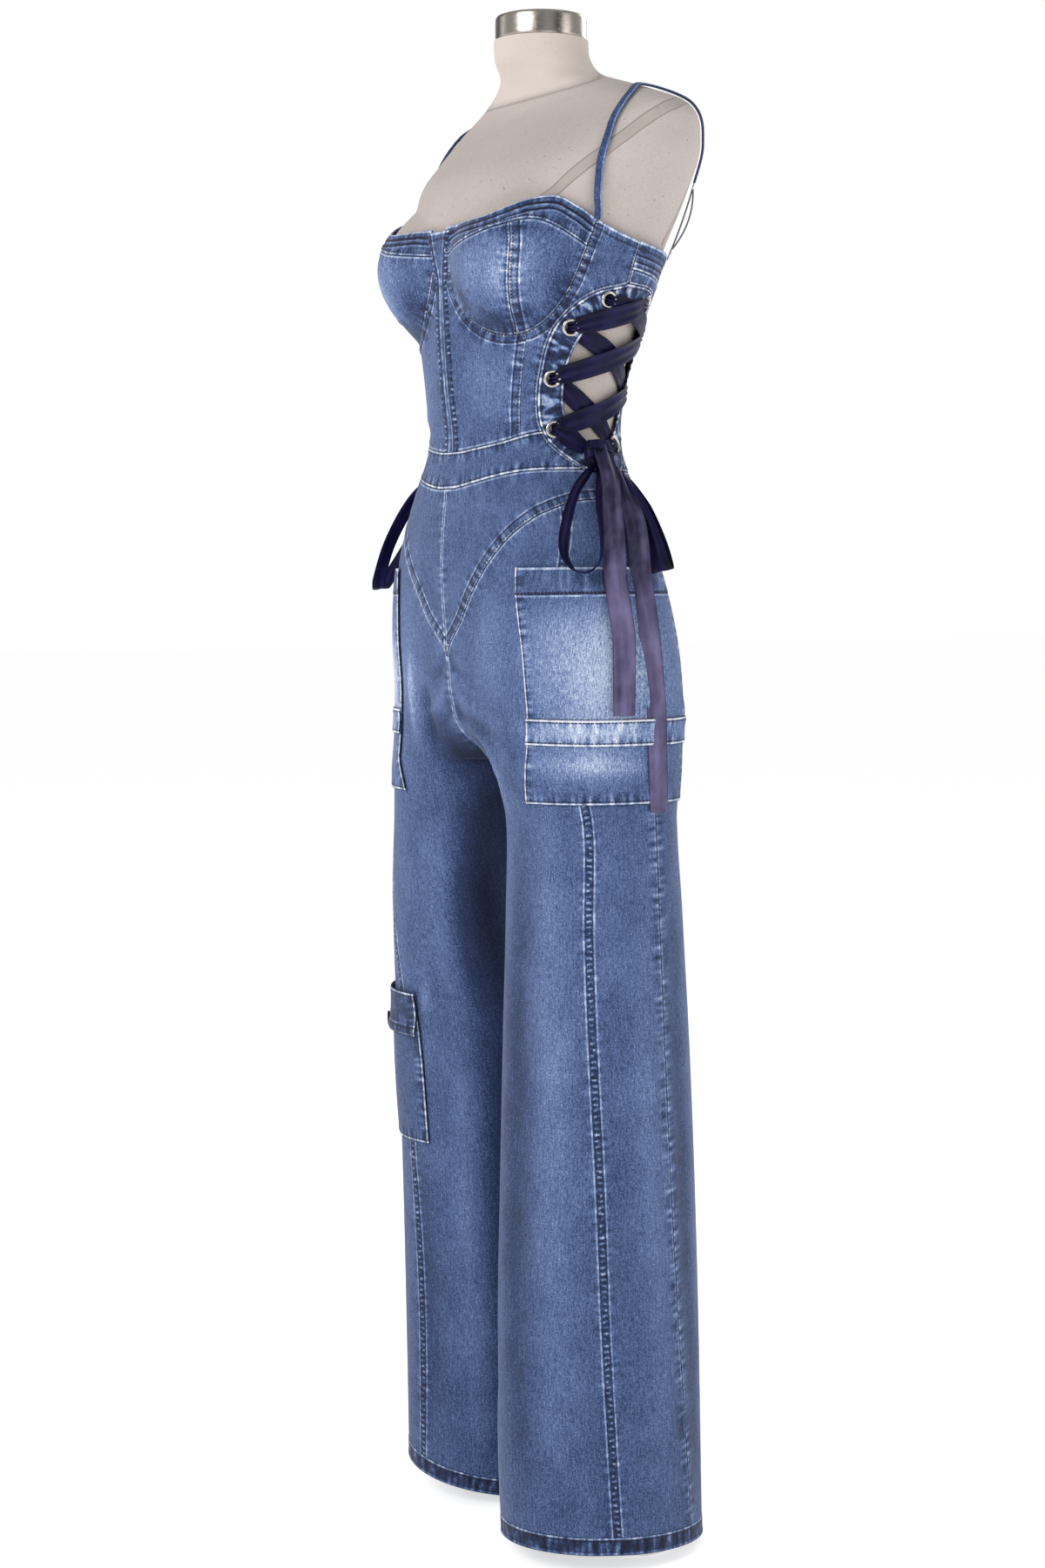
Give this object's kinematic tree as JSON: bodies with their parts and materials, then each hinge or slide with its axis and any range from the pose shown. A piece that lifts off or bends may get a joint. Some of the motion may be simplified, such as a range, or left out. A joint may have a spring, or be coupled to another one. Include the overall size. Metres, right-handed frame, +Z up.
{
  "type": "denim jumpsuit on a dress form",
  "caption": "Denim jumpsuit with thin shoulder straps, seamed cups, laced sides with ribbon bows, a V yoke, hip pockets and wide legs, on a limbless dress form with a stand.",
  "frame": {"origin": "bottom centre of the box round everything but the free ribbons, on the floor under the stand's feet", "axes": "+Z up, -Y towards the front of the garment, +X towards the wearer's left"},
  "size_m": [0.3818, 0.2558, 1.451],
  "materials": {
    "denim": "mid-blue washed stretch denim",
    "denim_dark": "darker puckered denim facing",
    "linen": "grey-beige linen cover with small flecks",
    "steel": "polished",
    "stand_paint": "white enamelled steel",
    "button": "dark metal",
    "satin": "navy satin ribbon",
    "webbing": "thin grey-blue strap"
  },
  "bodies": {
    "root": {"back_band": "denim", "back_panel_left": "denim", "back_panel_right": "denim", "back_strap_left": "webbing", "back_strap_right": "webbing", "bow_left": "satin", "bow_right": "satin", "centre_strip": "denim", "cup_inner_left": "denim", "cup_inner_right": "denim", "cup_outer_left": "denim", "cup_outer_right": "denim", "flap_button": "button", "flap_pocket": "denim", "form_neck_cap": "steel", "form_stand_left": "stand_paint", "form_stand_right": "stand_paint", "form_torso": "linen", "front_panel_left": "denim", "front_panel_right": "denim", "hem_left": "denim", "hem_right": "denim", "hip_pocket_left": "denim", "hip_pocket_right": "denim", "lacing_back_left": "denim_dark", "lacing_back_right": "denim_dark", "lacing_front_left": "denim_dark", "lacing_front_right": "denim_dark", "lacing_left": "satin", "lacing_right": "satin", "leg_back_left": "denim", "leg_back_right": "denim", "leg_front_left": "denim", "leg_front_right": "denim", "leg_side_left": "denim", "leg_side_right": "denim", "neck_band_left": "denim", "neck_band_right": "denim", "pocket_band_left": "denim", "pocket_band_right": "denim", "pocket_flap": "denim", "side_front_left": "denim", "side_front_right": "denim", "strap_left": "denim", "strap_right": "denim", "strap_ring_left": "steel", "strap_ring_right": "steel", "strap_slider_left": "steel", "strap_slider_right": "steel", "tail_long_left": "satin", "tail_long_right": "satin", "tail_short_left": "satin", "tail_short_right": "satin", "waistband_back": "denim", "waistband_front": "denim", "yoke_left": "denim", "yoke_right": "denim"}
  },
  "joints": []
}
